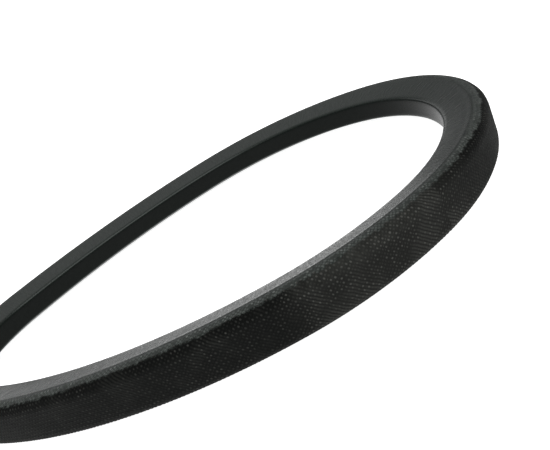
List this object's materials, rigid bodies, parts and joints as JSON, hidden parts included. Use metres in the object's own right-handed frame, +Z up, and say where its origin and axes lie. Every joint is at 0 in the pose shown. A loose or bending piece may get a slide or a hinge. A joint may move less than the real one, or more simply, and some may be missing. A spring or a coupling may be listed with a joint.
{
  "type": "v belt",
  "caption": "Endless fabric-wrapped V-belt with a narrow wedge section, lying on its side in a loose egg-shaped loop.",
  "frame": {"origin": "centre of the belt's footprint on the surface it lies on", "axes": "+Z up, parallel to the pulley shafts and normal to the plane of the loop; +X along the loop to its wide round end; +Y across the loop"},
  "size_m": [0.2086, 0.1448, 0.014],
  "materials": {
    "cover_fabric": "matte bias-woven cotton-polyester fabric soaked in black rubber",
    "cover_fabric_inner": "matte rubberised fabric, second ply",
    "tension_rubber": "matte black rubber",
    "adhesion_gum": "matte soft rubber",
    "tensile_cord": "twisted polyester cord",
    "compression_rubber": "matte fibre-filled rubber"
  },
  "bodies": {
    "root": {"cover_outer_ply": "cover_fabric", "cover_inner_ply": "cover_fabric_inner", "tension_rubber": "tension_rubber", "adhesion_gum_upper": "adhesion_gum", "tensile_cord": "tensile_cord", "adhesion_gum_lower": "adhesion_gum", "compression_rubber": "compression_rubber"}
  },
  "joints": []
}
